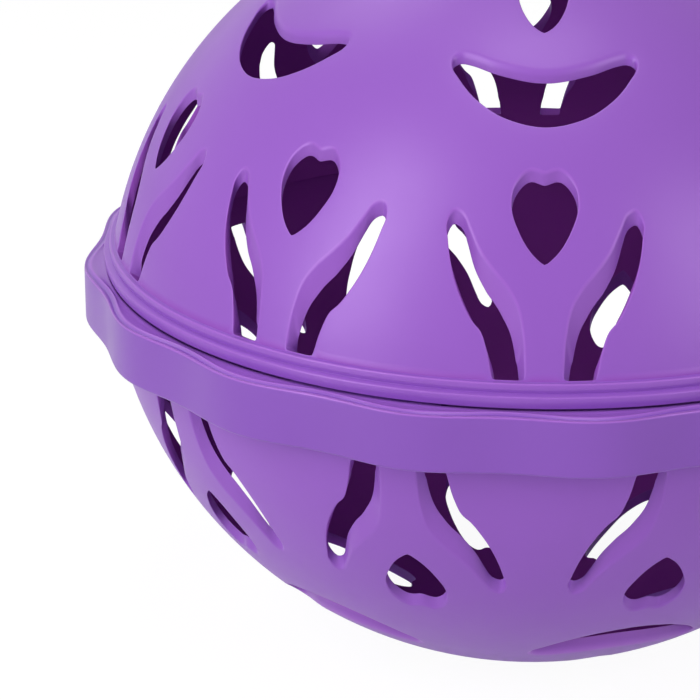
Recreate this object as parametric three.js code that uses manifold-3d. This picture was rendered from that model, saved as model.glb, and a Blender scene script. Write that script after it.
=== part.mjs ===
// Delicates wash ball: two pierced half shells closed by a lobed twist ring.
// Millimetres, +Z up, -Y to the front. The origin is the centre of the flat foot.
import * as THREE from 'three';
import { mergeVertices } from 'three/addons/utils/BufferGeometryUtils.js';
import Module from 'manifold-3d';

const wasm = await Module();
wasm.setup();

// Half shells: heights are measured from the seam's mid plane towards each pole
const DOME_RADIUS = 76.2;
const DOME_OFFSET = 6.8; // each sphere's centre lies this far past the mid plane
const WALL = 1.3;
const FOOT_RADIUS = 14;
const CLEARANCE = 0.35; // between mouldings that turn or slide past each other

// Twist ring
const RING_TOP = 4.1;
const RING_HEIGHT = 10.1;
const RING_WALL = 3.25; // from the bore to the mean radius of the lobed face
const LOBE_COUNT = 16;
const LOBE_HEIGHT = 0.8; // lobe crest above the mean radius
const RING_EDGE = 0.6; // chamfer on the face's two edges
const RING_SLOPE = 2.2; // width of the band that falls away on top
const SLOPE_FALL = 0.4;

// Snap flange on the lower shell, which runs in a groove inside the ring
const FLANGE_TOP = -1.0;
const FLANGE_THICKNESS = 1.8;
const FLANGE_GRIP = 0.8; // how far the flange reaches past the ring's bore

// Bayonet: lugs on the upper shell's spigot, tabs inside the ring's top
const BAYONET_COUNT = 4;
const LUG_SPAN = THREE.MathUtils.degToRad(20);
const LUG_THICKNESS = 1.8;
const TAB_SPAN = THREE.MathUtils.degToRad(20);
const TAB_THICKNESS = 1.8;
const SPIGOT_BOTTOM = -2.0;
const ROOT = 0.5; // how deep a lug or tab is rooted in the wall that carries it

// Two-step bead at the upper shell's foot
const SEAM_GAP = 0.4;
const BEAD_HEIGHT = 4.1;
const LOW_STEP_HEIGHT = 2.3;
const LOW_STEP_PROUD = 2.0; // beyond the dome where the bead meets it
const TOP_STEP_PROUD = 0.9;
const BEAD_ROUND = 0.4;

// Cut-outs: placed by latitude on the sphere, sized in millimetres along its surface
const TULIP_COUNT = 10;
const CROWN_COUNT = 6; // crescents, and the hearts above them
const LOWER_TURN = Math.PI / TULIP_COUNT; // the lower pattern stands half a pitch round
const SLOT_LATITUDE = THREE.MathUtils.degToRad(11.7);
const HEART_LATITUDE = THREE.MathUtils.degToRad(25.7);
const CRESCENT_LATITUDE = THREE.MathUtils.degToRad(42.6);
const POLE_HEART_LATITUDE = THREE.MathUtils.degToRad(56);
const SILL = 0.05; // the upper slots stop this far above the bead
const LOWER_SILL = 1.8; // the lower slots stop this far under the ring
const HEART = { halfWidth: 5.1, height: 15.1, widest: 9.1, cleft: 0.8 };
const POLE_HEART = { halfWidth: 4.3, height: 24.5, widest: 12.5, cleft: 0.6 };
const TIP_FULLNESS = 0.4; // how round a heart's sides leave its tip
const LOBE_FULLNESS = 0.3; // how far a heart's lobes lean towards its cleft
const CRESCENT = { halfWidth: 14.6, rise: 11.8, thickness: 9.9, hornIn: 2.0, hornHeight: 15.1 };
// One petal slot, across from the tulip's axis and up from its foot
const SLOT_FAR_EDGE = [[8.3, 0], [9.2, 7.1], [11.3, 11.6], [14.6, 20.3], [15.3, 25.7], [14.3, 29.4]];
const SLOT_NEAR_EDGE = [[12.2, 26.2], [10.3, 21.8], [6.3, 15.4], [4.6, 11.6], [3.9, 7.4], [3.6, 0]];

// Facets
const AROUND = 60;
const DOME_ROWS = 7;
const STEPS_PER_LOBE = 5;
const SLOT_STEPS = 7;
const HEART_STEPS = 3;
const CRESCENT_STEPS = 5;
const SECTOR_STEPS = 3;

const midHeight = Math.sqrt(DOME_RADIUS ** 2 - FOOT_RADIUS ** 2) - DOME_OFFSET;
const innerRadius = DOME_RADIUS - WALL;
const beadBottom = RING_TOP + SEAM_GAP;
const beadTop = beadBottom + BEAD_HEIGHT;
const ringBottom = RING_TOP - RING_HEIGHT;
const ringBore = radiusAt(DOME_RADIUS, -FLANGE_TOP) + CLEARANCE;
const ringRadius = ringBore + RING_WALL;
const flangeRadius = ringBore + FLANGE_GRIP;
const spigotRadius = radiusAt(innerRadius, -SPIGOT_BOTTOM) - CLEARANCE;
const twist = 2 * Math.PI / LOBE_COUNT; // turning the ring by one lobe locks the ball

// Plan radius of a dome at a height above the mid plane
function radiusAt(sphereRadius, height) {
  return Math.sqrt(sphereRadius ** 2 - (height + DOME_OFFSET) ** 2);
}

// Latitude of a height above the mid plane on a sphere
function latitudeAt(sphereRadius, height) {
  return Math.asin((height + DOME_OFFSET) / sphereRadius);
}

// Meridian of a sphere between two latitudes, as points of a lathe profile
function meridian(sphereRadius, from, to) {
  const points = [];
  for (let row = 0; row <= DOME_ROWS; row += 1) {
    const latitude = from + (to - from) * row / DOME_ROWS;
    const height = sphereRadius * Math.sin(latitude) - DOME_OFFSET;
    points.push([sphereRadius * Math.cos(latitude), height]);
  }
  return points;
}

// Body of revolution about Z from [radius, height] points, outer walls running up
function revolve(profile, segments) {
  const points = profile.map(([radius, height]) => new THREE.Vector2(Math.max(radius, 0), height));
  return new THREE.LatheGeometry(points, segments).rotateX(Math.PI / 2);
}

// Closed solid of a geometry whose shared vertices are merged
function toSolid(geometry) {
  geometry.deleteAttribute('normal');
  geometry.deleteAttribute('uv');
  const merged = mergeVertices(geometry);
  const corners = merged.index.array;
  const triangles = [];
  for (let i = 0; i < corners.length; i += 3) {
    const [a, b, c] = corners.slice(i, i + 3);
    if (a !== b && b !== c && c !== a) {
      triangles.push(a, b, c);
    }
  }
  return new wasm.Manifold(new wasm.Mesh({
    numProp: 3,
    vertProperties: Float32Array.from(merged.attributes.position.array),
    triVerts: Uint32Array.from(triangles),
  }));
}

// Named mesh of a finished solid
function toMesh(solid, name, color) {
  const { vertProperties, triVerts } = solid.getMesh();
  const geometry = new THREE.BufferGeometry();
  geometry.setAttribute('position', new THREE.BufferAttribute(vertProperties, 3));
  geometry.setIndex(new THREE.BufferAttribute(triVerts, 1));
  geometry.computeVertexNormals();
  const material = new THREE.MeshStandardMaterial({ color, roughness: 0.42, metalness: 0 });
  const mesh = new THREE.Mesh(geometry, material);
  mesh.name = name;
  return mesh;
}

// Upright block between two radii, centred on an azimuth that is counted from -Y towards +X
function sector(inner, outer, span, azimuth, bottom, thickness) {
  const start = azimuth - span / 2 - Math.PI / 2;
  const shape = new THREE.Shape();
  shape.absarc(0, 0, outer, start, start + span, false);
  shape.absarc(0, 0, inner, start + span, start, true);
  const options = { depth: thickness, bevelEnabled: false, curveSegments: SECTOR_STEPS };
  return toSolid(new THREE.ExtrudeGeometry(shape, options).translate(0, 0, bottom));
}

// Heart outline with its tip at the start of the coordinates and its lobes up
function heartOutline({ halfWidth, height, widest, cleft }) {
  const shape = new THREE.Shape();
  const side = halfWidth * TIP_FULLNESS;
  const lobe = halfWidth * LOBE_FULLNESS;
  const crown = height + cleft;
  shape.moveTo(0, 0);
  shape.bezierCurveTo(side, widest * TIP_FULLNESS / 2, halfWidth, widest / 2, halfWidth, widest);
  shape.bezierCurveTo(halfWidth, crown, lobe, crown, 0, height - cleft);
  shape.bezierCurveTo(-lobe, crown, -halfWidth, crown, -halfWidth, widest);
  shape.bezierCurveTo(-halfWidth, widest / 2, -side, widest * TIP_FULLNESS / 2, 0, 0);
  return shape.getPoints(HEART_STEPS);
}

// Crescent with its horns up: two parabolas joined by rounded horns
function crescentOutline({ halfWidth, rise, thickness, hornIn, hornHeight }) {
  const shape = new THREE.Shape();
  const hornX = halfWidth - hornIn;
  shape.moveTo(-halfWidth, rise);
  shape.quadraticCurveTo(0, -rise, halfWidth, rise);
  shape.quadraticCurveTo(halfWidth, hornHeight, hornX, hornHeight);
  shape.quadraticCurveTo(0, 2 * thickness - hornHeight, -hornX, hornHeight);
  shape.quadraticCurveTo(-halfWidth, hornHeight, -halfWidth, rise);
  return shape.getPoints(CRESCENT_STEPS);
}

// Petal slot on one side of a tulip's axis, its foot run down to the sphere's equator
function slotOutline() {
  const toVectors = (points) => points.map(([across, up]) => new THREE.Vector2(across, up));
  const far = new THREE.SplineCurve(toVectors(SLOT_FAR_EDGE)).getPoints(SLOT_STEPS);
  const near = new THREE.SplineCurve(toVectors(SLOT_NEAR_EDGE)).getPoints(SLOT_STEPS);
  const equator = -DOME_RADIUS * SLOT_LATITUDE;
  far[0].y = equator;
  near[SLOT_STEPS].y = equator;
  return [...far, ...near];
}

// Upright core that makes one cut-out: the mould halves part along Z, so its walls are upright.
// The outline is drawn on the dome's surface and seen here from above.
function core(outline, latitude, azimuth, bottom, mirrored) {
  const plan = outline.map((point) => {
    const along = DOME_RADIUS * Math.cos(latitude + point.y / DOME_RADIUS);
    return new THREE.Vector2(mirrored ? -point.x : point.x, along);
  });
  const options = { depth: DOME_RADIUS, bevelEnabled: false };
  const geometry = new THREE.ExtrudeGeometry(new THREE.Shape(plan), options);
  return toSolid(geometry.rotateZ(azimuth + Math.PI).translate(0, 0, bottom));
}

// All cores of one half, turned about Z, standing on the slots' sill
function patternCores(turn, sill) {
  const cores = [];
  for (let i = 0; i < TULIP_COUNT; i += 1) {
    const azimuth = turn + 2 * Math.PI * i / TULIP_COUNT;
    cores.push(core(slotOutline(), SLOT_LATITUDE, azimuth, sill, false));
    cores.push(core(slotOutline(), SLOT_LATITUDE, azimuth, sill, true));
    cores.push(core(heartOutline(HEART), HEART_LATITUDE, azimuth, sill, false));
  }
  for (let i = 0; i < CROWN_COUNT; i += 1) {
    const azimuth = turn + 2 * Math.PI * i / CROWN_COUNT;
    cores.push(core(crescentOutline(CRESCENT), CRESCENT_LATITUDE, azimuth, sill, false));
    cores.push(core(heartOutline(POLE_HEART), POLE_HEART_LATITUDE, azimuth, sill, false));
  }
  return cores;
}

// Upper half: dome, two-step bead, and a spigot that carries the bayonet lugs
function upperShell() {
  const spigotBore = spigotRadius - WALL;
  const domeFoot = radiusAt(DOME_RADIUS, beadTop);
  const lowStep = domeFoot + LOW_STEP_PROUD;
  const topStep = domeFoot + TOP_STEP_PROUD;
  const lowStepTop = beadBottom + LOW_STEP_HEIGHT;
  const boreLatitude = Math.acos(spigotBore / innerRadius);
  const profile = [
    ...meridian(innerRadius, Math.PI / 2, boreLatitude),
    [spigotBore, SPIGOT_BOTTOM],
    [spigotRadius, SPIGOT_BOTTOM],
    [spigotRadius, beadBottom],
    [lowStep, beadBottom],
    [lowStep, lowStepTop - BEAD_ROUND],
    [lowStep - BEAD_ROUND, lowStepTop],
    [topStep, lowStepTop],
    [topStep, beadTop - BEAD_ROUND],
    ...meridian(DOME_RADIUS, latitudeAt(DOME_RADIUS, beadTop), Math.PI / 2),
  ];
  let shell = toSolid(revolve(profile, AROUND));
  const lugTop = RING_TOP - TAB_THICKNESS - CLEARANCE;
  for (let i = 0; i < BAYONET_COUNT; i += 1) {
    const azimuth = 2 * Math.PI * i / BAYONET_COUNT;
    const lugOuter = ringBore - CLEARANCE;
    const lugBottom = lugTop - LUG_THICKNESS;
    shell = shell.add(sector(spigotRadius - ROOT, lugOuter, LUG_SPAN, azimuth, lugBottom, LUG_THICKNESS));
  }
  for (const cut of patternCores(0, beadTop + SILL)) {
    shell = shell.subtract(cut);
  }
  return toMesh(shell, 'upper_shell', 0x9a66cc);
}

// Lower half, drawn pole up and turned over: dome, flat foot, and the flange that holds the ring
function lowerShell() {
  const rim = -FLANGE_TOP;
  const flangeBottom = rim + FLANGE_THICKNESS;
  const floor = midHeight - WALL;
  const profile = [
    [0, floor],
    ...meridian(innerRadius, latitudeAt(innerRadius, floor), latitudeAt(innerRadius, rim)),
    [flangeRadius, rim],
    [flangeRadius, flangeBottom],
    ...meridian(DOME_RADIUS, latitudeAt(DOME_RADIUS, flangeBottom), latitudeAt(DOME_RADIUS, midHeight)),
    [0, midHeight],
  ];
  let shell = toSolid(revolve(profile, AROUND));
  for (const cut of patternCores(Math.PI - LOWER_TURN, LOWER_SILL - ringBottom)) {
    shell = shell.subtract(cut);
  }
  const mesh = toMesh(shell, 'lower_shell', 0x955fc8);
  mesh.rotation.x = Math.PI;
  return mesh;
}

// Ring: lobed band with a groove for the flange and tabs that turn over the lugs
function lockingRing() {
  const grooveRadius = flangeRadius + CLEARANCE;
  const grooveTop = FLANGE_TOP + CLEARANCE;
  const grooveBottom = FLANGE_TOP - FLANGE_THICKNESS - CLEARANCE;
  const faceStart = ringRadius - RING_SLOPE - RING_EDGE;
  const profile = [
    [ringBore, ringBottom],
    [ringRadius - RING_EDGE, ringBottom],
    [ringRadius, ringBottom + RING_EDGE],
    [ringRadius, RING_TOP - SLOPE_FALL - RING_EDGE],
    [ringRadius - RING_EDGE, RING_TOP - SLOPE_FALL],
    [faceStart, RING_TOP],
    [ringBore, RING_TOP],
    [ringBore, grooveTop],
    [grooveRadius, grooveTop],
    [grooveRadius, grooveBottom],
    [ringBore, grooveBottom],
    [ringBore, ringBottom],
  ];
  const band = revolve(profile, LOBE_COUNT * STEPS_PER_LOBE);
  const position = band.attributes.position;
  for (let i = 0; i < position.count; i += 1) {
    const x = position.getX(i);
    const y = position.getY(i);
    const radius = Math.hypot(x, y);
    const azimuth = Math.atan2(x, -y);
    const onFace = radius > ringRadius - 2 * RING_EDGE;
    const swell = onFace ? -LOBE_HEIGHT * Math.cos(LOBE_COUNT * (azimuth - LOWER_TURN)) : 0;
    position.setX(i, x * (1 + swell / radius));
    position.setY(i, y * (1 + swell / radius));
  }
  let ring = toSolid(band);
  const tabInner = spigotRadius + CLEARANCE;
  const tabBottom = RING_TOP - TAB_THICKNESS;
  for (let i = 0; i < BAYONET_COUNT; i += 1) {
    const azimuth = 2 * Math.PI * i / BAYONET_COUNT - twist;
    ring = ring.add(sector(tabInner, ringBore + ROOT, TAB_SPAN, azimuth, tabBottom, TAB_THICKNESS));
  }
  return toMesh(ring, 'locking_ring', 0x8a56bd);
}

const ball = new THREE.Group();
ball.position.z = midHeight;
ball.add(lowerShell(), lockingRing(), upperShell());

export default ball;
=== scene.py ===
"""Delicates wash ball: fine surfaces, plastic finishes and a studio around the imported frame."""
import logging
import math
from dataclasses import dataclass, field, replace
from enum import Enum

import bpy
import numpy as np
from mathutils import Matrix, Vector
from mathutils.geometry import delaunay_2d_cdt


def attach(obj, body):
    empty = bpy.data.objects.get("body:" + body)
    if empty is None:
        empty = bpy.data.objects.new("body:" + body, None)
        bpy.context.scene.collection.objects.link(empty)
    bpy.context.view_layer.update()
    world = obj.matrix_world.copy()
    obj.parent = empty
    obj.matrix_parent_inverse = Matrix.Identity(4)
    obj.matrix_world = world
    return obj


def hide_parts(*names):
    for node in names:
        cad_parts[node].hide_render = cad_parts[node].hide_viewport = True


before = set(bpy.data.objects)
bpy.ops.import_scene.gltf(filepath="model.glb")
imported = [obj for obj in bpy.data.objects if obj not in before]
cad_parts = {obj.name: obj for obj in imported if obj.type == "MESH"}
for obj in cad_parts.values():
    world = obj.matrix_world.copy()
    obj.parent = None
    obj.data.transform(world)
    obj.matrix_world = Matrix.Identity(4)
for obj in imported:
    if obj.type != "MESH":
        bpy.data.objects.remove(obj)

log = logging.getLogger("wash_ball")
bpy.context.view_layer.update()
MM = 0.001
TAU = 2.0 * math.pi
MIRROR = np.array([-1.0, 1.0])
# Samples in a span of a spline, along a loop that is rounded, and spans in a rounded corner
SPAN_STEPS, FINE_STEPS, CORNER_STEPS = 24, 2048, 5
# Fewest points of an outline, and rows of points round an opening's outer and inner edge
FEWEST_POINTS, BROW_ROWS, HEEL_ROWS = 24, 6, 4
# Lengths that count as nothing, and the distance within which points are one
TINY, SAME_POINT = 1e-9, 1e-6
SHELL_PURPLE = (0.297, 0.104, 0.546)
# A darker copy of the shells' purple: painted shade for the ring's upright face
RING_SHADED_PURPLE = (0.25, 0.09, 0.5)

Number = float | np.ndarray
Curve = tuple[tuple[float, ...], ...]
Colour = tuple[float, float, float]


class Half(Enum):
    """Which half shell a surface belongs to; the value is the way its pole points."""

    UPPER = 1
    LOWER = -1


@dataclass(frozen=True)
class BallSizes:
    """Sizes in millimetres that both half shells and the ring share.

    Heights are counted from the seam's mid plane towards a half shell's own pole.
    """

    dome_radius: float = 76.2
    dome_offset: float = 6.8
    wall: float = 1.3
    foot_radius: float = 14.0
    tulips: int = 10
    crowns: int = 6
    lower_turn: float = math.radians(18.0)

    @property
    def foot_height(self) -> float:
        """Height of the flat foot, which is also the mid plane's height over the floor."""
        return math.sqrt(self.dome_radius ** 2 - self.foot_radius ** 2) - self.dome_offset

    def radius_at(self, height: Number, depth: float = 0.0) -> Number:
        """Plan radius at a height, by Pythagoras, of the dome or of a sphere a depth within it."""
        sphere = self.dome_radius - depth
        return np.sqrt(np.maximum(sphere ** 2 - (height + self.dome_offset) ** 2, 0.0))

    def height_at(self, radius: Number, depth: float = 0.0) -> Number:
        """Height at a plan radius, by Pythagoras, of the dome or of a sphere a depth within it."""
        sphere = self.dome_radius - depth
        return np.sqrt(np.maximum(sphere ** 2 - radius ** 2, 0.0)) - self.dome_offset


BALL = BallSizes()


def polar(radius: Number, azimuth: Number, height: Number) -> np.ndarray:
    """Points from radius, azimuth (from -Y towards +X) and height, stacked on the last axis."""
    radius, azimuth, height = np.broadcast_arrays(radius, azimuth, height)
    return np.stack([radius * np.sin(azimuth), -radius * np.cos(azimuth), height], -1)


def unit(vectors: np.ndarray) -> np.ndarray:
    """Rows of vectors, each divided by its length."""
    return vectors / np.linalg.norm(vectors, axis=1)[:, None]


def step_lengths(points: np.ndarray) -> np.ndarray:
    """Distance from each point of a line to the next."""
    return np.hypot(*np.diff(points, axis=0).T)


def bumps(at: np.ndarray, peaks: Curve, width: float) -> np.ndarray:
    """Sum of Gaussian bumps of one width, whose peaks are pairs of place and height."""
    return sum(height * np.exp(-((at - place) / width) ** 2) for place, height in peaks)


def bezier(start: np.ndarray, corner: np.ndarray, end: np.ndarray, t: np.ndarray) -> np.ndarray:
    """Quadratic Bezier from start to end at the parameters t, with the corner as control point."""
    return (1 - t) ** 2 * start + 2 * t * (1 - t) * corner + t ** 2 * end


def spline(points: Curve, level_ends: bool = False) -> np.ndarray:
    """Open curve through points: cubic Hermite spans over chord length.

    A tangent is the slope of the parabola through a point and its neighbours, an end's that of
    its chord.

    Args:
        points: the points that the curve passes through.
        level_ends: whether the curve leaves and meets the motif's axis at right angles.

    Returns:
        Samples of the curve, both ends included.
    """
    knots = np.array(points, float)
    chord = np.concatenate([[0.0], np.cumsum(step_lengths(knots))])
    slope = np.gradient(knots, chord, axis=0)
    if level_ends:
        slope[[0, -1]] = [[1.0, 0.0], [-1.0, 0.0]]
    span = np.diff(chord)[:, None, None]
    t = np.linspace(0.0, 1.0, SPAN_STEPS, endpoint=False)[None, :, None]
    start, end = knots[:-1, None, :], knots[1:, None, :]
    leave, arrive = slope[:-1, None, :] * span, slope[1:, None, :] * span
    curve = (
        (2 * t ** 3 - 3 * t ** 2 + 1) * start
        + (t ** 3 - 2 * t ** 2 + t) * leave
        + (3 * t ** 2 - 2 * t ** 3) * end
        + (t ** 3 - t ** 2) * arrive
    )
    return np.vstack([curve.reshape(-1, 2), knots[-1:]])


def resample_closed(loop: np.ndarray, count: int) -> np.ndarray:
    """A closed loop's points at equal steps of its length, by linear interpolation.

    Args:
        loop: its points.
        count: how many are wanted.

    Returns:
        The new points.
    """
    ring = np.vstack([loop, loop[:1]])
    length = np.concatenate([[0.0], np.cumsum(step_lengths(ring))])
    at = np.linspace(0.0, length[-1], count, endpoint=False)
    return np.stack([np.interp(at, length, ring[:, k]) for k in range(2)], 1)


def soften(loop: np.ndarray, spacing: float, softness: float) -> np.ndarray:
    """Rounds a closed loop's corners with a Gaussian along its length.

    The loop is resampled at small equal steps, each of its Fourier terms is multiplied by the
    Gaussian of that term's wave number, and the result is resampled.

    Args:
        loop: corner points of the closed loop.
        spacing: distance between points of the result.
        softness: the Gaussian's width.

    Returns:
        The rounded loop, counter-clockwise as given.
    """
    length = step_lengths(np.vstack([loop, loop[:1]])).sum()
    fine = resample_closed(loop, FINE_STEPS)
    wave = np.fft.fftfreq(FINE_STEPS, length / FINE_STEPS)
    damp = np.exp(-0.5 * (TAU * wave * softness) ** 2)[:, None]
    rounded = np.fft.ifft(np.fft.fft(fine, axis=0) * damp, axis=0).real
    return resample_closed(rounded, max(int(round(length / spacing)), FEWEST_POINTS))


def inside_loop(points: np.ndarray, loop: np.ndarray) -> np.ndarray:
    """Tells which points a closed loop winds round: the turns seen from them add up to a circle."""
    spokes = loop @ [1, 1j] - (points @ [1, 1j])[:, None]
    return np.abs(np.angle(np.roll(spokes, -1, axis=1) / spokes).sum(1)) > math.pi


def dome_plane(points: np.ndarray) -> np.ndarray:
    """Stereographic picture of a dome, hollow side too.

    A point's distance from the middle is twice the tangent of half its angle from the pole, seen
    from the sphere's centre; that angle still grows down a straight bore.

    Args:
        points: n by 3 points.

    Returns:
        n by 2 points of the picture.
    """
    radius = np.hypot(points[:, 0], points[:, 1])
    lean = np.arctan2(radius, points[:, 2] + BALL.dome_offset)
    return points[:, :2] * (2.0 * np.tan(0.5 * lean) / np.maximum(radius, TINY))[:, None]


@dataclass
class SkinMesh:
    """Vertices, faces and two point attributes of one piece, for painted highlight and painted
    shade, gathered part by part.
    """

    points: list[np.ndarray] = field(default_factory=list)
    edge: list[np.ndarray] = field(default_factory=list)
    inside: list[np.ndarray] = field(default_factory=list)
    faces: list[np.ndarray] = field(default_factory=list)
    size: int = 0

    def add(self, points: np.ndarray, edge: Number = 0.0, inside: Number = 0.0) -> np.ndarray:
        """Adds points.

        Args:
            points: array whose last axis is x, y and height.
            edge: how much painted highlight they get, a paler colour; one value or one each.
            inside: how much painted shade they get, a deep colour, 1 in the hollow; one value or
                one each.

        Returns:
            Their indices, in the array's shape without its last axis.
        """
        shape = points.shape[:-1]
        flat = points.reshape(-1, 3)
        index = np.arange(self.size, self.size + len(flat)).reshape(shape)
        self.points.append(flat)
        self.edge.append(np.broadcast_to(edge, shape).ravel())
        self.inside.append(np.broadcast_to(inside, shape).ravel())
        self.size += len(flat)
        return index

    def weave(self, rows: np.ndarray) -> None:
        """Joins a grid of indices with quads, row after row, and its last column to its first."""
        after = np.roll(rows, -1, axis=1)
        self.faces.append(np.stack([rows[:-1], after[:-1], after[1:], rows[1:]], -1).reshape(-1, 4))

    def fan(self, row: np.ndarray, centre: int, way: int) -> None:
        """Closes a ring of indices with triangles to a centre; way is -1 to turn them round."""
        trios = np.stack([row, np.roll(row, -1), np.full(len(row), centre)], -1)
        self.faces.append(trios[:, ::way])

    def build(self, name: str, half: Half, finish: "PlasticFinish") -> bpy.types.Object:
        """Makes the Blender object.

        Heights over the mid plane, mirrored for the lower half, become metres over the foot.

        Args:
            name: the piece's name.
            half: which half's frame the points are in.
            finish: the plastic it is made of.

        Returns:
            A smooth-shaded mesh object at the origin, linked to the scene.
        """
        points = np.vstack(self.points)
        points[:, 2] = BALL.foot_height + half.value * points[:, 2]
        faces = [face for rows in self.faces for face in rows[:, ::half.value].tolist()]
        mesh = bpy.data.meshes.new(name)
        mesh.from_pydata(points * MM, [], faces, shade_flat=False)
        mesh.validate()
        # The edge attribute carries painted highlight and the inside attribute painted shade
        for label, values in (("edge", self.edge), ("inside", self.inside)):
            layer = mesh.attributes.new(label, "FLOAT", "POINT")
            layer.data.foreach_set("value", np.concatenate(values).astype(np.float32))
        mesh.materials.append(finish.material())
        piece = bpy.data.objects.new(name, mesh)
        bpy.context.scene.collection.objects.link(piece)
        return piece


def triangulate(plane: np.ndarray, loops: list[np.ndarray]) -> np.ndarray:
    """Constrained Delaunay triangles of a pierced disc.

    Args:
        plane: the disc's points, laid flat.
        loops: index rings, first the disc's rim and then its holes.

    Returns:
        Rows of three indices, none inside a hole.
    """
    edges = np.vstack([np.stack([loop, np.roll(loop, -1)], 1) for loop in loops])
    _, _, faces, origin, _, _ = delaunay_2d_cdt(
        [Vector(p) for p in plane.tolist()], edges.tolist(), [], 0, TINY)
    trios = np.array([ids[0] for ids in origin])[np.array(faces)]
    keep = np.ones(len(trios), bool)
    for loop in loops[1:]:
        chosen = np.flatnonzero(np.isin(trios, loop).all(1))
        keep[chosen] = ~inside_loop(plane[trios[chosen]].mean(1), plane[loop])
    return trios[keep]


def rounded_profile(corners: list[tuple[float, float, float]]) -> np.ndarray:
    """Open profile of straight runs with rounded corners.

    Each corner gives way to the Bezier between the points that lie its rounding before and after.

    Args:
        corners: radius, height and rounding of each.

    Returns:
        Points of radius and height.
    """
    knots = np.array(corners, float)
    place, setback = knots[:, :2], knots[:, 2:]
    run = unit(np.diff(place, axis=0))
    before, after = np.vstack([run[:1], run]), np.vstack([run, run[-1:]])
    t = np.linspace(0.0, 1.0, CORNER_STEPS + 1)[None, :, None]
    enter = (place - before * setback)[:, None, :]
    leave = (place + after * setback)[:, None, :]
    points = bezier(enter, place[:, None, :], leave, t).reshape(-1, 2)
    return points[np.concatenate([[True], step_lengths(points) > SAME_POINT])]


@dataclass(frozen=True)
class CutOut:
    """One kind of opening: its outline on the dome and the rounding of its edges.

    The outline runs across the motif's axis and up the meridian from its latitude. The walls are
    upright, as a core drawn along the ball's axis leaves them; the draft shifts their inner edge.
    """

    latitude: float
    outline: np.ndarray
    blunt: float
    # How much painted highlight its edges get
    painted_highlight: float
    draft: np.ndarray
    crisp: float = 0.26
    inner: float = 0.14
    roll: float = 0.4

    def mirrored(self) -> "CutOut":
        """The same opening on the other side of its axis."""
        flipped, shift = (self.outline * MIRROR)[::-1], (self.draft * MIRROR)[::-1]
        return replace(self, outline=flipped, draft=shift)


@dataclass(frozen=True)
class Motif:
    """A symmetric opening: its right side, bottom to top, how it is rounded, and how much painted
    highlight its edges get.

    Soft is the rounding of its outline and blunt that of its open edges. Draft draws the hollow's
    side in along the edge towards the pole.
    """

    latitude: float
    side: Curve
    soft: float
    blunt: float
    roll: float = 0.4
    painted_highlight: float = 0.8
    draft: float = 0.0
    shift: float = 0.0
    stretch: float = 1.0
    level_ends: bool = False

    def cut(self, spacing: float) -> CutOut:
        """Works the opening out.

        Args:
            spacing: distance between points of its outline.

        Returns:
            The opening.
        """
        right = spline(self.side, self.level_ends)
        whole = np.vstack([right, (right * MIRROR)[::-1][1:-1]])
        loop = soften(whole * [1.0, self.stretch] + [self.shift, 0.0], spacing, self.soft)
        run = unit(np.roll(loop, -1, axis=0) - np.roll(loop, 1, axis=0))
        pull = -self.draft * np.maximum(-run[:, 0], 0.0)
        return CutOut(self.latitude, loop, self.blunt, roll=self.roll, painted_highlight=self.painted_highlight,
                      draft=np.stack([np.zeros(len(loop)), pull], 1))


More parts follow.
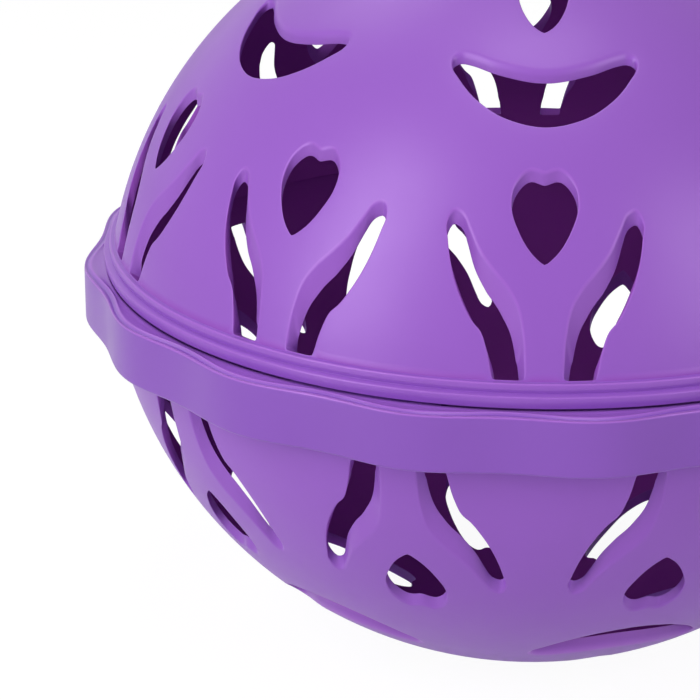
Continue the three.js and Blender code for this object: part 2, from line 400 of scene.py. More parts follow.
@dataclass(frozen=True)
class TulipPattern:
    """The pierced pattern: petal slots, hearts, crescents and long hearts round the pole.

    A slot's two drafts are heights and the shifts there.
    """

    spacing: float = 0.55
    slot_latitude: float = math.radians(11.7)
    slot_edge: Curve = (
        (7.75, -2.0), (8.25, 2.3), (9.2, 7.1), (10.2, 10.1), (11.3, 11.7), (12.9, 15.0),
        (14.6, 20.3), (15.35, 25.7), (15.45, 28.1), (14.4, 29.6), (13.2, 28.7), (12.1, 26.2),
        (10.3, 21.8), (8.1, 18.2), (6.1, 15.4), (4.35, 12.0), (3.45, 7.5), (3.15, 2.5),
        (3.05, -2.0),
    )
    slot_soft: float = 0.28
    slot_blunt: float = 0.45
    slot_painted_highlight: float = 0.8
    slot_thin: float = 0.5
    sill_points: int = 40
    stem_draft: Curve = ((0.0, 8.0, 14.0, 18.0, 27.0), (1.0, 1.0, 1.3, 1.15, 0.1))
    far_draft: Curve = (
        (-2.0, 2.0, 5.0, 10.0, 15.0, 20.0, 25.0), (0.0, 0.2, 0.6, 1.25, 1.6, 1.0, 0.0),
    )
    heart: Motif = Motif(math.radians(25.7), (
        (0.0, -0.4), (1.95, 1.55), (4.15, 5.5), (5.2, 9.1), (4.55, 13.1), (2.25, 15.2),
        (0.0, 14.4),
    ), soft=0.38, blunt=0.5, shift=-0.1)
    crescent: Motif = Motif(math.radians(42.6), (
        (0.0, 0.0), (5.8, 1.64), (10.7, 5.85), (13.6, 10.5), (14.75, 13.4), (14.45, 15.0),
        (13.4, 15.4), (12.4, 14.95), (7.5, 12.03), (0.0, 9.95),
    ), soft=0.3, blunt=1.0, roll=0.6, painted_highlight=0.1, draft=0.35, level_ends=True)
    long_heart: Motif = Motif(math.radians(56.0), (
        (0.0, 0.0), (1.5, 1.4), (3.2, 4.7), (3.95, 7.7), (4.15, 11.5), (4.05, 15.5), (3.6, 19.5),
        (2.85, 22.4), (1.6, 24.0), (0.0, 23.3),
    ), soft=0.34, blunt=0.6)

    def away_from_stem(self, loop: np.ndarray) -> np.ndarray:
        """Shift of a slot's outline on the hollow's side.

        On the edge beside the stem it points away from the stem by the stem's draft, on the far
        edge it points back by the far draft, and it is linear between them.

        Args:
            loop: the slot's outline.

        Returns:
            n by 2 shifts.
        """
        edge = spline(self.slot_edge)
        tip = int(np.argmax(edge[:, 1]))
        far = np.interp(loop[:, 1], edge[:tip + 1, 1], edge[:tip + 1, 0])
        near = np.interp(loop[:, 1], edge[tip:, 1][::-1], edge[tip:, 0][::-1])
        share = np.clip((far - loop[:, 0]) / np.maximum(far - near, self.slot_thin), 0.0, 1.0)
        amount = share * np.interp(loop[:, 1], *self.stem_draft)
        amount -= (1.0 - share) * np.interp(loop[:, 1], *self.far_draft)
        return np.stack([amount, np.zeros_like(amount)], 1)

    def petal_slot(self, sill: float) -> CutOut:
        """Slot beside a tulip's stem, closed at its foot by the level line of the sill.

        Args:
            sill: height of the sill.

        Returns:
            The slot on the side of increasing azimuth.
        """
        edge = spline(self.slot_edge)
        along = BALL.dome_radius * np.cos(self.slot_latitude + edge[:, 1] / BALL.dome_radius)
        height = BALL.height_at(np.hypot(edge[:, 0], along))
        edge = edge[height > sill]
        across = np.linspace(edge[-1, 0], edge[0, 0], self.sill_points)
        reach = np.sqrt(BALL.radius_at(sill) ** 2 - across ** 2)
        up = BALL.dome_radius * (np.arccos(reach / BALL.dome_radius) - self.slot_latitude)
        whole = np.vstack([edge, np.stack([across, up], 1)])
        loop = soften(whole, self.spacing, self.slot_soft)
        return CutOut(self.slot_latitude, loop, self.slot_blunt, painted_highlight=self.slot_painted_highlight,
                      draft=self.away_from_stem(loop))

    def placed(self, turn: float, sill: float) -> list[tuple[CutOut, float]]:
        """All openings of one half with their azimuths.

        Args:
            turn: azimuth of the first tulip.
            sill: height of the slots' sill.

        Returns:
            Pairs of an opening and its azimuth.
        """
        slot = self.petal_slot(sill)
        tulip = [slot, slot.mirrored(), self.heart.cut(self.spacing)]
        crown = [self.crescent.cut(self.spacing), self.long_heart.cut(self.spacing)]
        return [(cut, turn + TAU * number / count)
                for count, group in ((BALL.tulips, tulip), (BALL.crowns, crown))
                for number in range(count) for cut in group]


def grey(level: float) -> tuple[float, ...]:
    """Opaque grey."""
    return (level, level, level, 1.0)


def feed(tree: bpy.types.NodeTree, node: bpy.types.Node, feeds: dict[str | int, object]) -> None:
    """Sets a node's inputs.

    Args:
        tree: the node tree.
        node: the node.
        feeds: for each input, the output that is linked to it or its constant.
    """
    for key, value in feeds.items():
        if isinstance(value, bpy.types.NodeSocket):
            tree.links.new(value, node.inputs[key])
        else:
            node.inputs[key].default_value = value


def add_node(tree: bpy.types.NodeTree, kind: str, output: str, feeds: dict[str | int, object],
             **settings: str) -> bpy.types.NodeSocket:
    """Adds a shader node.

    Args:
        tree: the node tree.
        kind: the node's type, less the ShaderNode that all begin with.
        output: the output that is wanted.
        feeds: its inputs.
        settings: its properties.

    Returns:
        The wanted output.
    """
    node = tree.nodes.new("ShaderNode" + kind)
    for key, value in settings.items():
        setattr(node, key, value)
    feed(tree, node, feeds)
    return node.outputs[output]


@dataclass(frozen=True)
class PlasticFinish:
    """Satin moulded polypropylene: colour, gloss, a faint mould grain, painted highlight that pales
    edges, and painted shade that deepens the hollow.

    Cloud, speck and grain are scale and detail of the noises that vary colour, gloss and height.
    The specular level falls to nothing as the painted shade grows, so reflections are painted out
    of the shade as well.
    """

    name: str
    colour: Colour
    roughness: float = 0.36
    painted_highlight_strength: float = 0.35
    painted_highlight_gain: Colour = (1.65, 1.65, 1.32)
    painted_shade_colour: Colour = (0.29, 0.048, 0.39)
    sheen_tint: Colour = (0.85, 0.68, 1.0)
    ior: float = 1.49
    specular: float = 0.5
    painted_shade_no_specular: float = 0.4
    cloud: tuple[float, float] = (28.0, 3.0)
    colour_swing: float = 0.04
    speck: tuple[float, float] = (160.0, 4.0)
    gloss_swing: float = 0.04
    grain: tuple[float, float] = (900.0, 2.0)
    grain_strength: float = 0.05
    grain_height: float = 0.0002

    def material(self) -> bpy.types.Material:
        """Builds the node material.

        Returns:
            A Principled material that reads Object coordinates and the piece's own attributes.
        """
        material = bpy.data.materials.new(self.name)
        material.use_nodes = True
        tree = material.node_tree
        place = add_node(tree, "TexCoord", "Object", {})
        cloud, speck, grain = (
            add_node(tree, "TexNoise", "Fac", {"Vector": place, "Scale": scale, "Detail": detail})
            for scale, detail in (self.cloud, self.speck, self.grain))
        # edge is the painted highlight and inside the painted shade, both read from the piece's
        # attributes
        edge, hollow = (
            add_node(tree, "Attribute", "Fac", {}, attribute_name=label)
            for label in ("edge", "inside"))
        # A paler colour for painted highlight, and a deep purple for painted shade
        gains = ([1.0 - self.colour_swing] * 3, [1.0 + self.colour_swing] * 3, self.painted_highlight_gain)
        low, high, painted_highlight = ((*[c * g for c, g in zip(self.colour, gain)], 1.0) for gain in gains)
        painted_highlight_mask = add_node(tree, "Math", "Value", {0: edge, 1: self.painted_highlight_strength}, operation="MULTIPLY")
        base = low
        for factor, colour in ((cloud, high), (painted_highlight_mask, painted_highlight), (hollow, (*self.painted_shade_colour, 1.0))):
            base = add_node(tree, "Mix", "Result", {"Factor": factor, "A": base, "B": colour},
                            data_type="RGBA")
        # Painted shade also takes away the specular reflection
        shaded_specular = add_node(tree, "MapRange", "Result", {
            "Value": hollow, "From Max": self.painted_shade_no_specular, "To Min": self.specular, "To Max": 0.0})
        gloss = add_node(tree, "MapRange", "Result", {
            "Value": speck, "To Min": self.roughness - self.gloss_swing,
            "To Max": self.roughness + self.gloss_swing})
        bump = add_node(tree, "Bump", "Normal", {
            "Height": grain, "Strength": self.grain_strength, "Distance": self.grain_height})
        feed(tree, tree.nodes["Principled BSDF"], {
            "Base Color": base, "Roughness": gloss, "Specular IOR Level": shaded_specular, "Normal": bump,
            "IOR": self.ior, "Specular Tint": (*self.sheen_tint, 1.0)})
        return material


@dataclass
class PiercedShell:
    """A half shell: a pierced dome of even wall with a rim that closes it at the seam.

    The painted highlight and painted shade values are those of the rows of points down an opening's
    wall.
    """

    name: str
    node: str
    body: str
    half: Half
    finish: PlasticFinish
    turn: float
    sill: float
    outer_edge: float
    inner_edge: float
    bore: float
    pattern: TulipPattern = TulipPattern()
    around: int = 288
    cell: float = 2.3
    row_pitch: float = 0.87
    row_start: float = 0.35
    fewest_around: int = 6
    clear: float = 0.9
    near: float = 2.0
    upright_over: float = 15.0
    sill_fall: float = 0.0
    sill_fade: float = 1.5
    sill_crisp: float = 0.12
    heel_share: float = 0.3
    probe: float = 0.1
    # How far a wall must turn in before it gets painted shade, and over what run the shade grows
    dark_from: float = 0.05
    dark_run: float = 0.35
    base_extra: float = 0.0
    base_from: float = 58.0
    base_run: float = 9.0
    # Painted shade on the dome's foot above the bead's ledge; rim rows deeper than rim_depth within
    # the dome get the hollow's painted shade
    rim_shade: float = 0.0
    rim_depth: float = 0.5
    # Painted highlight and painted shade of the brow rows and heel rows down an opening's wall
    brow_painted_highlight: tuple[float, ...] = (0.55, 0.6, 0.5, 0.35)
    brow_painted_shade: tuple[float, ...] = (0.0, 0.05, 0.15, 0.3)
    heel_painted_highlight: tuple[float, ...] = (0.25, 0.5, 1.0, 1.0)
    heel_painted_shade: float = 0.03
    heel_shade_facing_in: float = 0.42

    def hollow_height(self, radius: Number) -> Number:
        """Height of the hollow: its sphere, less the extra wall that eases in near the pole."""
        rise = np.clip((self.base_from - radius) / self.base_run, 0.0, 1.0)
        return BALL.height_at(radius, BALL.wall) - self.base_extra * rise * rise * (3 - 2 * rise)

    def inner_radius_at(self, height: Number) -> Number:
        """Plan radius of the hollow at a height: its sphere, no wider than the rim's bore."""
        return np.minimum(BALL.radius_at(height, BALL.wall), self.bore)

    def outer_point(self, cut: CutOut, azimuth: float, across_up: np.ndarray) -> np.ndarray:
        """Points of an opening's outline on the outer dome.

        In plan a point lies across the motif's axis as given and along it by the dome's radius
        times the cosine of its latitude; its height is the dome's there.

        Args:
            cut: the opening.
            azimuth: where its axis stands.
            across_up: outline points.

        Returns:
            n by 3 points.
        """
        across, up = across_up.T
        along = BALL.dome_radius * np.cos(cut.latitude + up / BALL.dome_radius)
        x = along * math.sin(azimuth) + across * math.cos(azimuth)
        y = across * math.sin(azimuth) - along * math.cos(azimuth)
        return np.stack([x, y, BALL.height_at(np.hypot(x, y))], 1)

    def drop(self, outer: np.ndarray) -> np.ndarray:
        """Points of the hollow's side that face points of the outer dome.

        Over the height where the walls turn upright a point goes straight down to the hollow.
        Below, its height over the sill's inner edge is a fixed share of the outer height over the
        sill, and its radius is the hollow's.

        Args:
            outer: n by 3 points of the outer dome.

        Returns:
            n by 3 points of the hollow.
        """
        radius = np.hypot(outer[:, 0], outer[:, 1])
        turn = BALL.radius_at(self.upright_over)
        inner_sill = self.sill - self.sill_fall
        share = (self.hollow_height(turn) - inner_sill) / (self.upright_over - self.sill)
        low = inner_sill + share * (outer[:, 2] - self.sill)
        below = outer[:, 2] < self.upright_over
        height = np.where(below, low, self.hollow_height(radius))
        scale = np.where(below, self.inner_radius_at(low) / radius, 1.0)
        return np.stack([outer[:, 0] * scale, outer[:, 1] * scale, height], 1)

    def hole_rings(self, cut: CutOut, azimuth: float) -> tuple[np.ndarray, np.ndarray]:
        """Rings of points from the outer dome, round an opening's edge and down to the hollow.

        Both edges are quadratic Beziers whose ends lie a setback away on dome and wall. The outer
        setback runs from crisp on a thin edge to blunt on an open one, by the cosine of the angle
        between dome and wall, and fades near the sill.

        Args:
            cut: the opening.
            azimuth: where its axis stands.

        Returns:
            rings by n by 3 points, and the painted shade of the wall at each point of the outline,
            from 0 where it faces out to 1 where it faces in.
        """
        loop = cut.outline
        tangent = unit(np.roll(loop, -1, axis=0) - np.roll(loop, 1, axis=0))
        outward = np.stack([tangent[:, 1], -tangent[:, 0]], 1)
        lip = self.outer_point(cut, azimuth, loop)
        foot = self.drop(self.outer_point(cut, azimuth, loop + cut.draft))
        depth = np.linalg.norm(foot - lip, axis=1)[:, None]
        wall = (foot - lip) / depth
        probe = unit(self.outer_point(cut, azimuth, loop + self.probe * outward) - lip)
        cosine = np.sum(probe * wall, axis=1)
        setback = cut.crisp + (cut.blunt - cut.crisp) * (0.5 * (1.0 - cosine))
        setback *= np.clip((lip[:, 2] - self.sill) / self.sill_fade, self.sill_crisp, 1.0)
        start = self.outer_point(cut, azimuth, loop + setback[:, None] * outward)
        into = np.minimum(setback[:, None], cut.roll * depth)
        back = np.minimum(cut.inner, self.heel_share * depth)
        finish = self.drop(self.outer_point(cut, azimuth, loop + cut.draft + cut.inner * outward))
        t, s = (np.linspace(0.0, 1.0, rows)[:, None, None] for rows in (BROW_ROWS, HEEL_ROWS))
        brow = bezier(start, lip, lip + into * wall, t)
        heel = bezier(foot - back * wall, foot, finish, s)
        # Painted shade: walls that face into the hollow are darkened
        across = probe - cosine[:, None] * wall
        faces_out = -np.sum(across[:, :2] * lip[:, :2], axis=1) / (
            np.linalg.norm(across, axis=1) * np.hypot(lip[:, 0], lip[:, 1]))
        dark = np.clip((self.dark_from - faces_out) / self.dark_run, 0.0, 1.0)
        return np.concatenate([brow, heel]), dark

    def filler(self, rows: np.ndarray, keep_out: list[np.ndarray]) -> np.ndarray:
        """Points between the openings, in staggered circles.

        Args:
            rows: radius and height of each circle.
            keep_out: the openings' rings.

        Returns:
            The points clear of them.
        """
        circles = []
        for number, (radius, height) in enumerate(rows):
            count = max(int(TAU * radius / self.cell), self.fewest_around)
            azimuth = TAU * (np.arange(count) + 0.5 * (number % 2)) / count
            circles.append(polar(radius, azimuth, height))
        points = np.vstack(circles)
        plane = dome_plane(points)
        keep = np.ones(len(points), bool)
        for ring in keep_out:
            reach = np.linalg.norm(ring - ring.mean(0), axis=1).max() + self.near
            near = np.flatnonzero(np.linalg.norm(points - ring.mean(0), axis=1) < reach)
            gap = np.linalg.norm(points[near, None, :] - ring[None], axis=2).min(1)
            keep[near] &= (gap > self.clear) & ~inside_loop(plane[near], dome_plane(ring))
        return points[keep]

    def cover(self, mesh: SkinMesh, rings: list[np.ndarray], rim: np.ndarray, rows: np.ndarray,
              inside: bool) -> tuple[list[np.ndarray], np.ndarray]:
        """Lays one pierced side of the dome.

        Args:
            mesh: the piece.
            rings: the openings' rings on this side.
            rim: the circle round it.
            rows: radius and height of the filling circles.
            inside: whether it is the hollow's side.

        Returns:
            The indices of each ring and of the rim.
        """
        filler = self.filler(rows, rings)
        # The hollow's side gets full painted shade, and the rim circle at the dome's foot some
        shade = float(inside)
        rim_index = mesh.add(rim, inside=max(shade, self.rim_shade))
        ring_index = [mesh.add(ring, inside=shade) for ring in rings]
        mesh.add(filler, inside=shade)
        first = rim_index[0]
        plane = dome_plane(np.vstack([rim, *rings, filler]))
        trios = triangulate(plane, [rim_index - first, *[r - first for r in ring_index]]) + first
        mesh.faces.append(trios[:, ::-1] if inside else trios)
        return ring_index, rim_index

    def dome_rows(self, edge: float, cap: float, depth: float = 0.0) -> np.ndarray:
        """Circles of the dome from near the pole to near its rim, cut flat at a cap height.

        Args:
            edge: height of the rim.
            cap: height of the flat.
            depth: how far within the dome the circles lie.

        Returns:
            Rows of radius and height.
        """
        sphere = BALL.dome_radius - depth
        lean = math.acos((edge + BALL.dome_offset) / sphere)
        count = int(lean * sphere / (self.row_pitch * self.cell))
        angle = np.linspace(0.0, lean, count + 1)[:-1] + self.row_start * lean / count
        height = np.minimum(sphere * np.cos(angle) - BALL.dome_offset, cap)
        return np.stack([sphere * np.sin(angle), height], 1)

    def hollow_rows(self, cap: float) -> np.ndarray:
        """Circles of the hollow: no wider than the bore, and level under a flat pole.

        Args:
            cap: height of the outer dome's flat.

        Returns:
            Rows of radius and height.
        """
        rows = self.dome_rows(self.inner_edge, cap - BALL.wall, BALL.wall)
        radius = np.minimum(rows[:, 0], self.bore)
        domed = np.where(radius < self.bore, self.hollow_height(radius), rows[:, 1])
        level = rows[:, 1] >= cap - BALL.wall
        return np.stack([radius, np.where(level, rows[:, 1] - self.base_extra, domed)], 1)

    def rim_profile(self) -> np.ndarray:
        """Radius and height of the rim from the hollow to the dome; each shell has its own."""
        raise NotImplementedError

    def rim_painted_shade(self, profile: np.ndarray) -> np.ndarray:
        """Which rows of the rim get the hollow's painted shade: those well within the dome."""
        return profile[:, 0] < BALL.radius_at(profile[:, 1]) - self.rim_depth

    def rim_painted_highlight(self, profile: np.ndarray) -> np.ndarray:
        """How much painted highlight each row of the rim gets; a plain rim has none."""
        return np.zeros(len(profile))

    def fittings(self, mesh: SkinMesh) -> None:
        """Adds what stands on the rim; a plain shell has nothing there."""

    def build(self) -> bpy.types.Object:
        """Builds the shell and puts it in the place of its CAD node.

        Returns:
            The finished piece.
        """
        mesh = SkinMesh()
        azimuth = TAU * np.arange(self.around) / self.around
        placed = self.pattern.placed(self.turn, self.sill)
        holes, darks = zip(*[self.hole_rings(cut, a) for cut, a in placed])
        cap = BALL.foot_height if self.half is Half.LOWER else math.inf
        outer_rim = polar(BALL.radius_at(self.outer_edge), azimuth, self.outer_edge)
        inner_rim = polar(self.inner_radius_at(self.inner_edge), azimuth, self.inner_edge)
        outer_index, outer_rim_index = self.cover(
            mesh, [h[0] for h in holes], outer_rim, self.dome_rows(self.outer_edge, cap), False)
        inner_index, inner_rim_index = self.cover(
            mesh, [h[-1] for h in holes], inner_rim, self.hollow_rows(cap), True)
        # Painted highlight and painted shade down each opening's wall; walls that face in get more
        # shade
        brow_painted_highlight, brow_painted_shade, heel_painted_highlight = (
            np.array(rows)[:, None] for rows in (self.brow_painted_highlight, self.brow_painted_shade, self.heel_painted_highlight))
        for (cut, _), hole, dark, lip, foot in zip(placed, holes, darks, outer_index, inner_index):
            brow = mesh.add(hole[1:BROW_ROWS - 1], cut.painted_highlight * brow_painted_highlight, brow_painted_shade * dark)
            heel = mesh.add(hole[BROW_ROWS - 1:-1], cut.painted_highlight * heel_painted_highlight,
                            self.heel_painted_shade + self.heel_shade_facing_in * dark)
            mesh.weave(np.vstack([lip[None], brow, heel, foot[None]]))
        profile = self.rim_profile()
        band = polar(profile[:, :1], azimuth[None, :], profile[:, 1:])
        # Rim rows that face the hollow get its painted shade, and the bead's ridges their painted
        # highlight
        shaded_rows = self.rim_painted_shade(profile)[:, None].astype(float)
        rows = mesh.add(band, self.rim_painted_highlight(profile)[:, None], shaded_rows)
        mesh.weave(np.vstack([inner_rim_index[None], rows, outer_rim_index[None]]))
        self.fittings(mesh)
        piece = mesh.build(self.name, self.half, self.finish)
        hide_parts(self.node)
        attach(piece, self.body)
        return piece


@dataclass(frozen=True)
class Block:
    """A curved block with rounded edges: a rounded rectangle carried round an arc."""

    inner: float
    outer: float
    bottom: float
    top: float
    span: float
    rounding: float = 0.3
    corner_points: int = 5
    stations: int = 9
    ease: tuple[float, ...] = (0.0, 0.3, 1.0)
    # Even painted highlight over the whole block
    painted_highlight: float = 0.3

    def add_to(self, mesh: SkinMesh, azimuth: float) -> None:
        """Adds the block to a piece.

        The section's corners are Bezier roundings; at both ends it is drawn in by the rounding.

        Args:
            mesh: the piece that carries the block.
            azimuth: middle of the arc.
        """
        middle = 0.5 * np.array([self.inner + self.outer, self.bottom + self.top])
        half = 0.5 * np.array([self.outer - self.inner, self.top - self.bottom])
        corners = np.array([[1, -1], [1, 1], [-1, 1], [-1, -1]], float) * half
        toward = corners + self.rounding * unit(np.roll(corners, 1, axis=0) - corners)
        away = corners + self.rounding * unit(np.roll(corners, -1, axis=0) - corners)
        t = np.linspace(0.0, 1.0, self.corner_points)[None, :, None]
        loop = bezier(toward[:, None], corners[:, None], away[:, None], t).reshape(-1, 2)
        ease = np.array(self.ease)
        lead = self.rounding / self.outer * ease
        reach = 0.5 * self.span
        run = np.linspace(-reach, reach, self.stations)[1:-1]
        stations = np.concatenate([lead - reach, run, reach - lead[::-1]])
        pull = self.rounding * np.concatenate([ease[::-1], np.zeros(len(run)), ease])
        section = middle + loop[None] * (1.0 - pull[:, None, None] / half)
        around = azimuth + stations[:, None]
        rows = mesh.add(polar(section[..., 0], around, section[..., 1]), self.painted_highlight)
        mesh.weave(rows)
        for end, way in ((0, -1), (-1, 1)):
            centre = mesh.add(polar(middle[0], azimuth + stations[end], middle[1]))
            mesh.fan(rows[end], int(centre), way)


@dataclass
class UpperShell(PiercedShell):
    """Upper half: a two-step bead at its foot, and a spigot with bayonet lugs.

    The bead's steps are radius, height and rounding of its corners from the groove upwards; its
    bumps are painted highlight lines: the heights of its edges over its bottom and how strong the
    painted highlight is there.
    """

    spigot_radius: float = 74.03
    spigot_bottom: float = -2.0
    spigot_round: float = 0.4
    bead_bottom: float = 4.52
    bead_radius: float = 76.67
    bead_belly: float = 5.6
    bead_shoulder: float = 6.55
    bead_steps: Curve = ((75.4, 6.75, 0.12), (75.66, 7.45, 0.2), (75.55, 8.42, 0.28))
    bead_top: float = 8.46
    bead_depth: float = 1.3
    # Painted highlight lines along the bead's lower edge and two ridges: height over the bead's
    # bottom and strength, with the bumps' width
    bead_highlight_bumps: Curve = ((0.0, 0.6), (1.98, 0.45), (3.86, 1.0))
    bump_width: float = 0.22
    lug_outer: float = 75.8
    lug_bottom: float = 0.15
    lug_top: float = 1.95
    lugs: int = 4
    lug_span: float = math.radians(20.0)
    lug_root: float = 0.4

    def rim_profile(self) -> np.ndarray:
        """Bore, spigot, bead's underside, and the bead's two steps up to the dome.

        Returns:
            Radius and height of each row.
        """
        dome = BALL.radius_at(self.outer_edge)
        return rounded_profile([
            (self.bore, self.inner_edge - 0.6, 0.0),
            (self.bore, self.spigot_bottom, self.spigot_round),
            (self.spigot_radius, self.spigot_bottom, self.spigot_round),
            (self.spigot_radius, self.bead_bottom + 0.3, 0.2),
            (self.bead_radius - 0.35, self.bead_bottom, 0.12),
            (self.bead_radius, self.bead_belly, 0.45),
            (self.bead_radius - 0.07, self.bead_shoulder, 0.28),
            *self.bead_steps,
            (dome + 0.1, self.bead_top, 0.04),
            (dome + 0.02, self.outer_edge, 0.0),
        ])[:-1]

    def rim_painted_shade(self, profile: np.ndarray) -> np.ndarray:
        """Only the bore gets the hollow's painted shade; the spigot shows when the half is lifted
        off.
        """
        return profile[:, 0] < self.spigot_radius - 0.3

    def rim_painted_highlight(self, profile: np.ndarray) -> np.ndarray:
        """Painted highlight: bumps over the bead's lower edge and its two ridges."""
        painted_highlight = bumps(profile[:, 1] - self.bead_bottom, self.bead_highlight_bumps, self.bump_width)
        return np.minimum(painted_highlight, 1.0) * (profile[:, 0] > self.bead_radius - self.bead_depth)

    def fittings(self, mesh: SkinMesh) -> None:
        """Bayonet lugs, evenly round the spigot.

        Args:
            mesh: the piece.
        """
        lug = Block(self.spigot_radius - self.lug_root, self.lug_outer, self.lug_bottom,
                    self.lug_top, self.lug_span)
        for number in range(self.lugs):
            lug.add_to(mesh, TAU * number / self.lugs)


@dataclass
class LowerShell(PiercedShell):
    """Lower half: a flat foot, and the flange that the ring turns on."""

    flange_radius: float = 76.95
    rim_height: float = 1.0
    flange_bottom: float = 2.8
    flange_round: float = 0.3
    flange_root: float = 0.2
    wall_lead: float = 0.6
    wall_end: float = 0.8
    inner_rows: int = 6
    outer_rows: int = 4

    def rim_profile(self) -> np.ndarray:
        """Hollow's side up to the rim, over the flange, and back down the outer dome.

        Returns:
            Radius and height of each row.
        """
        inner = np.linspace(self.inner_edge - self.wall_end, self.rim_height + self.wall_lead,
                            self.inner_rows)
        outer = np.linspace(self.flange_bottom + self.wall_lead, self.outer_edge - self.wall_end,
                            self.outer_rows)
        inner_wall = np.stack([BALL.radius_at(inner, BALL.wall), inner], 1)
        outer_wall = np.stack([BALL.radius_at(outer), outer], 1)
        mouth = BALL.radius_at(self.rim_height, BALL.wall)
        root = BALL.radius_at(self.flange_bottom)
        flange = rounded_profile([
            (*inner_wall[-1], 0.0),
            (mouth, self.rim_height, self.flange_round),
            (self.flange_radius, self.rim_height, self.flange_round),
            (self.flange_radius, self.flange_bottom, self.flange_round),
            (root, self.flange_bottom, self.flange_root),
            (*outer_wall[0], 0.0),
        ])
        return np.vstack([inner_wall[:-1], flange, outer_wall[1:]])


@dataclass
class TwistRing:
    """Lobed ring round the seam: a grooved band whose outer face waves in and out.

    The top's steps are how far in, how far up and how rounded its corners are. The waves are the
    shares of the lobes' wave at the groove, on the inner ridge and on the outer face.
    """

    finish: PlasticFinish
    radius: float = 79.4
    bore: float = 76.15
    top: float = 4.1
    bottom: float = -6.0
    lobes: int = 16
    lobe_height: float = 0.8
    waves: tuple[float, float, float] = (0.0, 1.35, 1.0)
    groove_radius: float = 77.3
    groove_top: float = -0.65
    groove_bottom: float = -3.15
    edge_round: float = 0.15
    top_steps: Curve = (
        (0.0, -0.5, 0.35), (0.15, -0.12, 0.12), (0.7, -0.3, 0.15), (1.4, 0.1, 0.2),
        (2.0, -0.06, 0.3),
    )
    # Painted highlight: lines over the top's two ridges, and painted light on the top face inward
    # of them, under the bead's shade
    ridges: Curve = ((0.15, 1.0), (1.4, 1.0))
    ridge_width: float = 0.25
    ridge_depth: float = 0.45
    band_painted_highlight: float = 0.6
    tab_inner: float = 74.38
    tab_root: float = 0.4
    tab_height: float = 1.8
    tab_lower: float = 0.02
    tabs: int = 4
    tab_span: float = math.radians(20.0)
    steps: int = 28

    def profile(self) -> tuple[np.ndarray, np.ndarray]:
        """Closed section and the share of the lobes' wave that each of its points takes.

        Returns:
            Points of radius and height, and the shares.
        """
        points = rounded_profile([
            (self.bore, self.top - 0.05, self.edge_round),
            (self.bore, self.groove_top, self.edge_round),
            (self.groove_radius, self.groove_top, self.edge_round),
            (self.groove_radius, self.groove_bottom, self.edge_round),
            (self.bore, self.groove_bottom, self.edge_round),
            (self.bore, self.bottom, 0.3),
            (self.radius, self.bottom, 0.7),
            *((self.radius - inward, self.top + up, bend) for inward, up, bend in self.top_steps),
            (self.bore + 0.3, self.top - 0.08, 0.0),
        ])
        steps = (self.groove_radius - 0.6, self.radius - 1.3, self.radius)
        share = np.interp(points[:, 0], steps, self.waves)
        groove = (points[:, 0] < self.groove_radius + 0.01) & (points[:, 1] < self.groove_top + 0.5)
        return points, np.where(groove, 0.0, share)

    def painted_highlight(self, section: np.ndarray) -> np.ndarray:
        """How much painted highlight each point gets: bumps over the ridges, and the band in
        between.

        Args:
            section: radius and height of each point of the section.

        Returns:
            The shares.
        """
        inward = self.radius - section[:, 0]
        band = self.band_painted_highlight * (inward > self.ridges[-1][0])
        painted_highlight = np.maximum(bumps(inward, self.ridges, self.ridge_width), band)
        return np.minimum(painted_highlight, 1.0) * (section[:, 1] > self.top - self.ridge_depth)

    def build(self) -> bpy.types.Object:
        """Builds the ring and puts it in the place of its CAD node.

        The radius is the section's radius plus its share of a cosine with one wave per lobe.

        Returns:
            The finished piece.
        """
        mesh = SkinMesh()
        section, share = self.profile()
        azimuth = TAU * np.arange(self.lobes * self.steps) / (self.lobes * self.steps)
        wave = -self.lobe_height * np.cos(self.lobes * (azimuth - BALL.lower_turn))
        radius = section[:, :1] + share[:, None] * wave[None, :]
        points = polar(radius, azimuth[None, :], section[:, 1:])
        rows = mesh.add(points, self.painted_highlight(section)[:, None])
        mesh.weave(np.vstack([rows, rows[:1]]))
        twist = TAU / self.lobes
        tab = Block(self.tab_inner, self.bore + self.tab_root, self.top - self.tab_height,
                    self.top - self.tab_lower, self.tab_span)
        for number in range(self.tabs):
            tab.add_to(mesh, TAU * number / self.tabs - twist)
        piece = mesh.build("twist_ring", Half.UPPER, self.finish)
        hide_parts("locking_ring")
        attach(piece, "ring")
        return piece


def direction(azimuth: float, elevation: float) -> Vector:
    """Unit vector from its azimuth (from -Y towards +X) and elevation, in radians."""
    level = math.cos(elevation)
    return Vector((math.sin(azimuth) * level, -math.cos(azimuth) * level, math.sin(elevation)))


def hang(data: bpy.types.ID, place: Vector, target: Vector) -> bpy.types.Object:
    """Puts a lamp or camera in the scene.

    Args:
        data: the lamp or camera.
        place: where it hangs.
        target: the point that it looks at.

    Returns:
        The object.
    """
    item = bpy.data.objects.new(data.name, data)
    item.location = place
    item.rotation_euler = (target - place).to_track_quat("-Z", "Y").to_euler()
    bpy.context.scene.collection.objects.link(item)
    return item


@dataclass(frozen=True)
class Softbox:
    """A soft lamp that looks at the ball's middle."""

    name: str
    azimuth: float
    elevation: float
    distance: float
    width: float
    height: float
    power: float

    def build(self, target: Vector) -> None:
        """Hangs the lamp.

        Args:
            target: the point that it looks at.
        """
        lamp = bpy.data.lights.new(self.name, "AREA")
        lamp.shape = "RECTANGLE"
        lamp.size, lamp.size_y = self.width, self.height
        lamp.energy = self.power
        away = direction(math.radians(self.azimuth), math.radians(self.elevation))
        hang(lamp, target + self.distance * away, target)


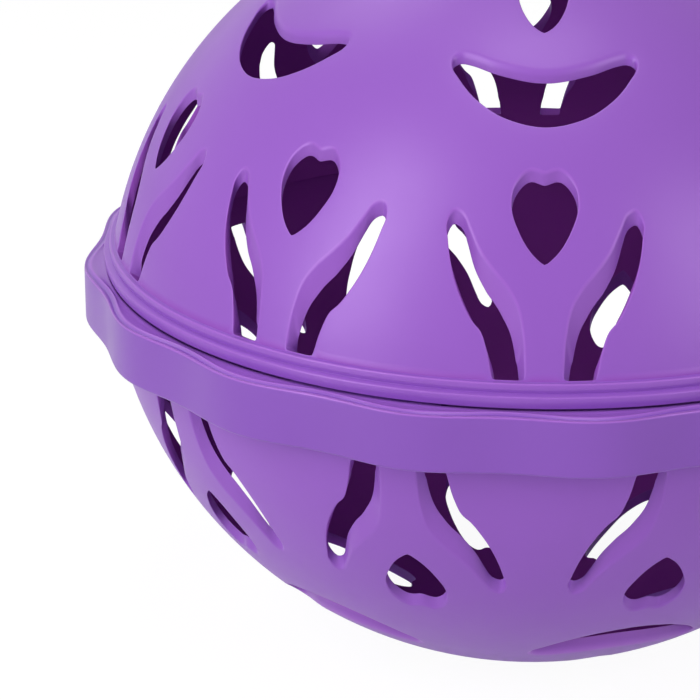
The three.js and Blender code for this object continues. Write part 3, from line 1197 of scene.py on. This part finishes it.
@dataclass
class Studio:
    """Pale floor, white surroundings, soft lamps and the camera of the photograph."""

    focal_px: float = 3089.42
    image_px: int = 700
    sensor: float = 36.0
    farthest: float = 50.0
    distance: float = 0.560
    elevation: float = math.radians(19.739)
    azimuth: float = math.radians(-2.041)
    aim_across: float = -0.032571
    aim_up: float = -0.015839
    world_light: float = 0.02
    world_sheen: float = 0.95
    floor_side: float = 6.0
    floor_pale: float = 0.9
    floor_rough: float = 0.9
    floor_glow: float = 0.94
    floor_shadow: float = 0.12
    floor_sheen: float = 0.25
    lamps: tuple[Softbox, ...] = (
        Softbox("left_softbox", -51.0, 28.0, 1.1, 0.42, 0.95, 8.6),
        Softbox("right_softbox", 49.0, 24.0, 1.1, 0.4, 0.7, 4.1),
        Softbox("top_softbox", 0.0, 86.0, 1.1, 0.45, 0.45, 2.6),
        Softbox("back_softbox", -140.0, 52.0, 1.1, 0.4, 0.4, 1.2),
    )

    def centre(self) -> Vector:
        """Middle of the seam."""
        return Vector((0.0, 0.0, BALL.foot_height * MM))

    def camera(self) -> None:
        """Puts the camera where the photograph was taken from."""
        lens = bpy.data.cameras.new("photo_camera")
        lens.sensor_width = self.sensor
        lens.lens = self.focal_px * self.sensor / self.image_px
        lens.clip_end = self.farthest
        right = Vector((math.cos(self.azimuth), math.sin(self.azimuth), 0.0))
        place = self.centre() + self.distance * direction(self.azimuth, self.elevation)
        aim = self.centre() + self.aim_across * right + Vector((0.0, 0.0, self.aim_up))
        bpy.context.scene.camera = hang(lens, place, aim)

    def world(self) -> None:
        """White surroundings: faint light on the ball, white where the camera looks past it."""
        world = bpy.data.worlds.new("studio_world")
        world.use_nodes = True
        tree = world.node_tree
        path = tree.nodes.new("ShaderNodeLightPath").outputs
        sheen = add_node(tree, "MapRange", "Result", {
            "Value": path["Is Glossy Ray"], "To Min": self.world_light, "To Max": self.world_sheen})
        seen = add_node(tree, "Mix", "Result", {
            "Factor": path["Is Camera Ray"], "A": sheen, "B": 1.0})
        feed(tree, tree.nodes["Background"], {"Color": grey(1.0), "Strength": seen})
        bpy.context.scene.world = world

    def floor(self) -> None:
        """Pale floor: white to the camera but for a soft shadow, and pale in the ball's sheen."""
        mesh = bpy.data.meshes.new("floor")
        side = self.floor_side
        corners = [(-side, -side, 0), (side, -side, 0), (side, side, 0), (-side, side, 0)]
        mesh.from_pydata(corners, [], [(0, 1, 2, 3)])
        item = bpy.data.objects.new("floor", mesh)
        bpy.context.scene.collection.objects.link(item)
        material = bpy.data.materials.new("studio_floor")
        material.use_nodes = True
        tree = material.node_tree
        path = tree.nodes.new("ShaderNodeLightPath").outputs
        paper = tree.nodes["Principled BSDF"]
        feed(tree, paper, {"Base Color": grey(self.floor_pale), "Roughness": self.floor_rough})
        mirrored = add_node(tree, "Math", "Value", {
            0: path["Is Glossy Ray"], 1: self.floor_sheen}, operation="MULTIPLY")
        sheen = add_node(tree, "Emission", "Emission", {"Strength": mirrored})
        lit = add_node(tree, "AddShader", "Shader", {0: paper.outputs["BSDF"], 1: sheen})
        glow = add_node(tree, "Emission", "Emission", {"Strength": self.floor_glow})
        shadow = add_node(tree, "BsdfDiffuse", "BSDF", {"Color": grey(self.floor_shadow)})
        look = add_node(tree, "AddShader", "Shader", {0: glow, 1: shadow})
        mix = add_node(tree, "MixShader", "Shader", {
            "Fac": path["Is Camera Ray"], 1: lit, 2: look})
        feed(tree, tree.nodes["Material Output"], {"Surface": mix})
        mesh.materials.append(material)

    def build(self) -> None:
        """Sets the whole studio up."""
        bpy.context.scene.view_settings.view_transform = "Standard"
        self.camera()
        self.world()
        self.floor()
        for lamp in self.lamps:
            lamp.build(self.centre())


def main() -> None:
    """Builds the studio and the ball's pieces."""
    logging.basicConfig(level=logging.INFO, format="%(name)s: %(message)s")
    Studio().build()
    # The lower half's edges get little painted highlight; its crescents get much, painting light
    # onto their shaded walls
    lower_pattern = TulipPattern(
        slot_painted_highlight=0.15, heart=replace(TulipPattern.heart, painted_highlight=0.15),
        crescent=replace(TulipPattern.crescent, blunt=1.6, painted_highlight=2.4),
        long_heart=replace(
            TulipPattern.long_heart, latitude=math.radians(58.0), stretch=0.89, painted_highlight=0.15))
    parts = (
        LowerShell("lower_cage", "lower_shell", "lower", Half.LOWER,
                   PlasticFinish("lower_plastic", SHELL_PURPLE), turn=BALL.lower_turn, sill=7.8,
                   outer_edge=7.3, inner_edge=7.0, bore=math.inf, base_extra=0.8,
                   pattern=lower_pattern),
        UpperShell("upper_cage", "upper_shell", "upper", Half.UPPER,
                   PlasticFinish("upper_plastic", SHELL_PURPLE), turn=0.0, sill=8.65,
                   outer_edge=8.5, inner_edge=7.2, bore=72.73,
                   upright_over=15.95, sill_fall=0.8, rim_shade=0.3),
        # The ring's edges get full painted highlight, and its purple is the darker, shaded copy
        TwistRing(PlasticFinish("ring_plastic", RING_SHADED_PURPLE, roughness=0.33, painted_highlight_strength=1.0)),
    )
    for part in parts:
        piece = part.build()
        log.info("%s: %d faces", piece.name, len(piece.data.polygons))


if __name__ == "__main__":
    main()
